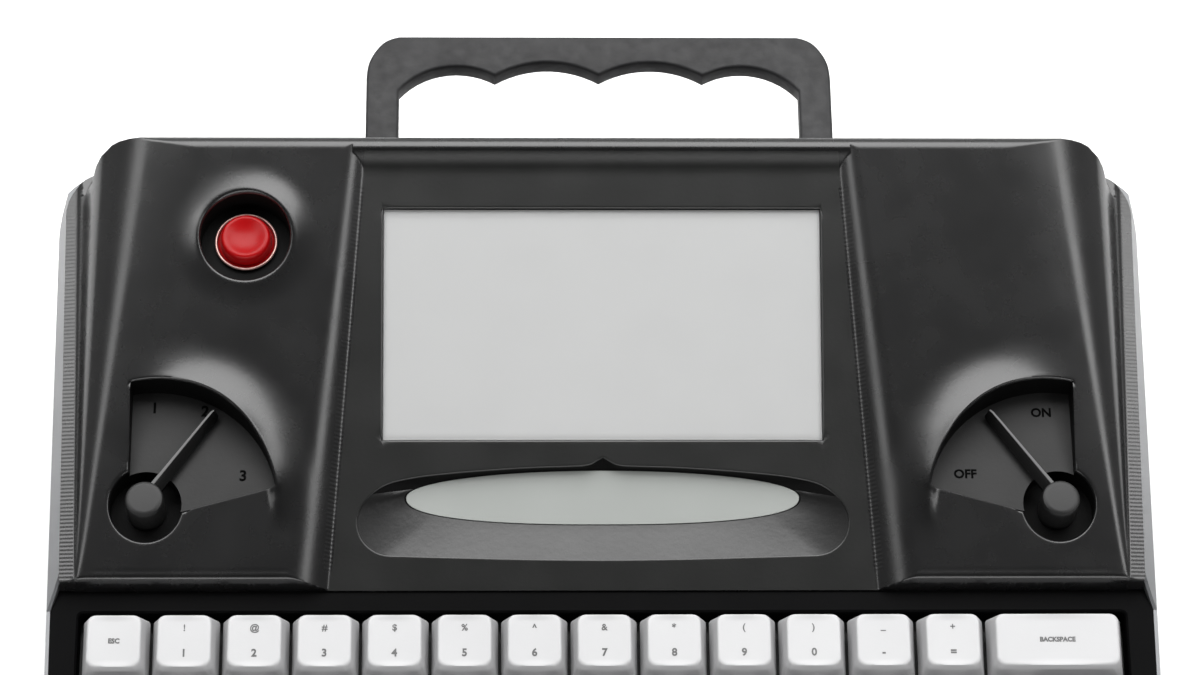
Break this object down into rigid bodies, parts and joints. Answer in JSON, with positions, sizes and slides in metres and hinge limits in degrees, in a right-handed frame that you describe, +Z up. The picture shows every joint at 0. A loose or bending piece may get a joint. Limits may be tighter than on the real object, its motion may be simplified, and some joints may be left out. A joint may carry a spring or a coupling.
{
  "type": "electronic word processor",
  "caption": "Portable electronic word processor: silver tub, black sloped display hood, mechanical keyboard, red power button, two selector levers, folding carry handle.",
  "frame": {"origin": "middle of the footprint, handle swung out, on the table surface under the rubber feet", "axes": "+X to the typist's right, +Y towards the rear and the handle, +Z up"},
  "size_m": [0.308, 0.276, 0.0833],
  "materials": {
    "silver_tub": "bead-blasted satin",
    "black_shell": "fine satin grain",
    "screen_window": "anti-glare",
    "paper_display": "matte grey electronic paper",
    "steel": "plain",
    "circuit_board": "solder mask",
    "switch_black": "moulded",
    "keycap_white": "fine grain",
    "battery_wrap": "film",
    "cable_amber": "polyimide film",
    "button_red": "gloss",
    "button_ring": "polished",
    "lever_black": "satin",
    "handle_grey": "satin anodised",
    "rubber": "matte"
  },
  "bodies": {
    "body": {"base_shell": "silver_tub", "rubber_feet": "rubber", "keyboard_bezel": "black_shell", "display_hood": "black_shell", "display_window": "screen_window", "status_window": "screen_window", "eink_panel": "paper_display", "display_bracket": "steel", "display_screws": "steel", "display_cable": "cable_amber", "keyboard_plate": "steel", "switch_housings": "switch_black", "keyboard_pcb": "circuit_board", "plate_screws": "steel", "main_pcb": "circuit_board", "board_screws": "steel", "battery_pack": "battery_wrap", "battery_straps": "steel", "keyboard_cable": "cable_amber", "charging_socket": "steel", "power_button_ring": "button_ring", "power_switch_body": "switch_black", "rotary_switches": "switch_black", "handle_brackets": "handle_grey", "handle_pins": "steel", "handle_screws": "steel", "case_screws": "steel"},
    "key_esc_body": {"key_esc": "keycap_white"},
    "key_1_body": {"key_1": "keycap_white"},
    "key_2_body": {"key_2": "keycap_white"},
    "key_3_body": {"key_3": "keycap_white"},
    "key_4_body": {"key_4": "keycap_white"},
    "key_5_body": {"key_5": "keycap_white"},
    "key_6_body": {"key_6": "keycap_white"},
    "key_7_body": {"key_7": "keycap_white"},
    "key_8_body": {"key_8": "keycap_white"},
    "key_9_body": {"key_9": "keycap_white"},
    "key_0_body": {"key_0": "keycap_white"},
    "key_minus_body": {"key_minus": "keycap_white"},
    "key_equals_body": {"key_equals": "keycap_white"},
    "key_backspace_body": {"key_backspace": "keycap_white"},
    "key_tab_body": {"key_tab": "keycap_white"},
    "key_backslash_body": {"key_backslash": "keycap_white"},
    "key_caps_lock_body": {"key_caps_lock": "keycap_white"},
    "key_enter_body": {"key_enter": "keycap_white"},
    "key_shift_left_body": {"key_shift_left": "keycap_white"},
    "key_shift_right_body": {"key_shift_right": "keycap_white"},
    "key_function_left_body": {"key_function_left": "keycap_white"},
    "key_page_left_body": {"key_page_left": "keycap_white"},
    "key_space_body": {"key_space": "keycap_white"},
    "key_page_right_body": {"key_page_right": "keycap_white"},
    "key_function_right_body": {"key_function_right": "keycap_white"},
    "letter_keys_upper_row_body": {"letter_keys_upper_row": "keycap_white"},
    "letter_keys_home_row_body": {"letter_keys_home_row": "keycap_white"},
    "letter_keys_lower_row_body": {"letter_keys_lower_row": "keycap_white"},
    "power_button_body": {"power_button_cap": "button_red"},
    "left_selector_body": {"left_selector_lever": "lever_black"},
    "right_selector_body": {"right_selector_lever": "lever_black"},
    "carry_handle_body": {"carry_handle": "handle_grey"}
  },
  "joints": [
    {"name": "key_esc_press", "type": "slide", "parent": "body", "child": "key_esc_body", "axis": [0, 0.0872, -0.9962], "range_m": [0, 0.004], "stiffness_N_per_m": 60, "springref_m": -0.005},
    {"name": "key_1_press", "type": "slide", "parent": "body", "child": "key_1_body", "axis": [0, 0.0872, -0.9962], "range_m": [0, 0.004], "stiffness_N_per_m": 60, "springref_m": -0.005},
    {"name": "key_2_press", "type": "slide", "parent": "body", "child": "key_2_body", "axis": [0, 0.0872, -0.9962], "range_m": [0, 0.004], "stiffness_N_per_m": 60, "springref_m": -0.005},
    {"name": "key_3_press", "type": "slide", "parent": "body", "child": "key_3_body", "axis": [0, 0.0872, -0.9962], "range_m": [0, 0.004], "stiffness_N_per_m": 60, "springref_m": -0.005},
    {"name": "key_4_press", "type": "slide", "parent": "body", "child": "key_4_body", "axis": [0, 0.0872, -0.9962], "range_m": [0, 0.004], "stiffness_N_per_m": 60, "springref_m": -0.005},
    {"name": "key_5_press", "type": "slide", "parent": "body", "child": "key_5_body", "axis": [0, 0.0872, -0.9962], "range_m": [0, 0.004], "stiffness_N_per_m": 60, "springref_m": -0.005},
    {"name": "key_6_press", "type": "slide", "parent": "body", "child": "key_6_body", "axis": [0, 0.0872, -0.9962], "range_m": [0, 0.004], "stiffness_N_per_m": 60, "springref_m": -0.005},
    {"name": "key_7_press", "type": "slide", "parent": "body", "child": "key_7_body", "axis": [0, 0.0872, -0.9962], "range_m": [0, 0.004], "stiffness_N_per_m": 60, "springref_m": -0.005},
    {"name": "key_8_press", "type": "slide", "parent": "body", "child": "key_8_body", "axis": [0, 0.0872, -0.9962], "range_m": [0, 0.004], "stiffness_N_per_m": 60, "springref_m": -0.005},
    {"name": "key_9_press", "type": "slide", "parent": "body", "child": "key_9_body", "axis": [0, 0.0872, -0.9962], "range_m": [0, 0.004], "stiffness_N_per_m": 60, "springref_m": -0.005},
    {"name": "key_0_press", "type": "slide", "parent": "body", "child": "key_0_body", "axis": [0, 0.0872, -0.9962], "range_m": [0, 0.004], "stiffness_N_per_m": 60, "springref_m": -0.005},
    {"name": "key_minus_press", "type": "slide", "parent": "body", "child": "key_minus_body", "axis": [0, 0.0872, -0.9962], "range_m": [0, 0.004], "stiffness_N_per_m": 60, "springref_m": -0.005},
    {"name": "key_equals_press", "type": "slide", "parent": "body", "child": "key_equals_body", "axis": [0, 0.0872, -0.9962], "range_m": [0, 0.004], "stiffness_N_per_m": 60, "springref_m": -0.005},
    {"name": "key_backspace_press", "type": "slide", "parent": "body", "child": "key_backspace_body", "axis": [0, 0.0872, -0.9962], "range_m": [0, 0.004], "stiffness_N_per_m": 60, "springref_m": -0.005},
    {"name": "key_tab_press", "type": "slide", "parent": "body", "child": "key_tab_body", "axis": [0, 0.0872, -0.9962], "range_m": [0, 0.004], "stiffness_N_per_m": 60, "springref_m": -0.005},
    {"name": "key_backslash_press", "type": "slide", "parent": "body", "child": "key_backslash_body", "axis": [0, 0.0872, -0.9962], "range_m": [0, 0.004], "stiffness_N_per_m": 60, "springref_m": -0.005},
    {"name": "key_caps_lock_press", "type": "slide", "parent": "body", "child": "key_caps_lock_body", "axis": [0, 0.0872, -0.9962], "range_m": [0, 0.004], "stiffness_N_per_m": 60, "springref_m": -0.005},
    {"name": "key_enter_press", "type": "slide", "parent": "body", "child": "key_enter_body", "axis": [0, 0.0872, -0.9962], "range_m": [0, 0.004], "stiffness_N_per_m": 60, "springref_m": -0.005},
    {"name": "key_shift_left_press", "type": "slide", "parent": "body", "child": "key_shift_left_body", "axis": [0, 0.0872, -0.9962], "range_m": [0, 0.004], "stiffness_N_per_m": 60, "springref_m": -0.005},
    {"name": "key_shift_right_press", "type": "slide", "parent": "body", "child": "key_shift_right_body", "axis": [0, 0.0872, -0.9962], "range_m": [0, 0.004], "stiffness_N_per_m": 60, "springref_m": -0.005},
    {"name": "key_function_left_press", "type": "slide", "parent": "body", "child": "key_function_left_body", "axis": [0, 0.0872, -0.9962], "range_m": [0, 0.004], "stiffness_N_per_m": 60, "springref_m": -0.005},
    {"name": "key_page_left_press", "type": "slide", "parent": "body", "child": "key_page_left_body", "axis": [0, 0.0872, -0.9962], "range_m": [0, 0.004], "stiffness_N_per_m": 60, "springref_m": -0.005},
    {"name": "key_space_press", "type": "slide", "parent": "body", "child": "key_space_body", "axis": [0, 0.0872, -0.9962], "range_m": [0, 0.004], "stiffness_N_per_m": 60, "springref_m": -0.005},
    {"name": "key_page_right_press", "type": "slide", "parent": "body", "child": "key_page_right_body", "axis": [0, 0.0872, -0.9962], "range_m": [0, 0.004], "stiffness_N_per_m": 60, "springref_m": -0.005},
    {"name": "key_function_right_press", "type": "slide", "parent": "body", "child": "key_function_right_body", "axis": [0, 0.0872, -0.9962], "range_m": [0, 0.004], "stiffness_N_per_m": 60, "springref_m": -0.005},
    {"name": "letter_keys_upper_row_press", "type": "slide", "parent": "body", "child": "letter_keys_upper_row_body", "axis": [0, 0.0872, -0.9962], "range_m": [0, 0.004], "stiffness_N_per_m": 720, "springref_m": -0.005},
    {"name": "letter_keys_home_row_press", "type": "slide", "parent": "body", "child": "letter_keys_home_row_body", "axis": [0, 0.0872, -0.9962], "range_m": [0, 0.004], "stiffness_N_per_m": 660, "springref_m": -0.005},
    {"name": "letter_keys_lower_row_press", "type": "slide", "parent": "body", "child": "letter_keys_lower_row_body", "axis": [0, 0.0872, -0.9962], "range_m": [0, 0.004], "stiffness_N_per_m": 600, "springref_m": -0.005},
    {"name": "power_button_press", "type": "slide", "parent": "body", "child": "power_button_body", "axis": [0, 0.0523, -0.9986], "range_m": [0, 0.002], "stiffness_N_per_m": 300, "springref_m": -0.002},
    {"name": "left_selector_turn", "type": "hinge", "parent": "body", "child": "left_selector_body", "pos_m": [-0.1257, -0.0083, 0.05189], "axis": [0, -0.0523, 0.9986], "range_deg": [-32, 32]},
    {"name": "right_selector_turn", "type": "hinge", "parent": "body", "child": "right_selector_body", "pos_m": [0.1257, -0.0083, 0.05189], "axis": [0, -0.0523, 0.9986], "range_deg": [-32, 32]},
    {"name": "carry_handle_fold", "type": "hinge", "parent": "body", "child": "carry_handle_body", "pos_m": [0, 0.0985, 0.058], "axis": [1, 0, 0], "range_deg": [-90, 0]}
  ]
}
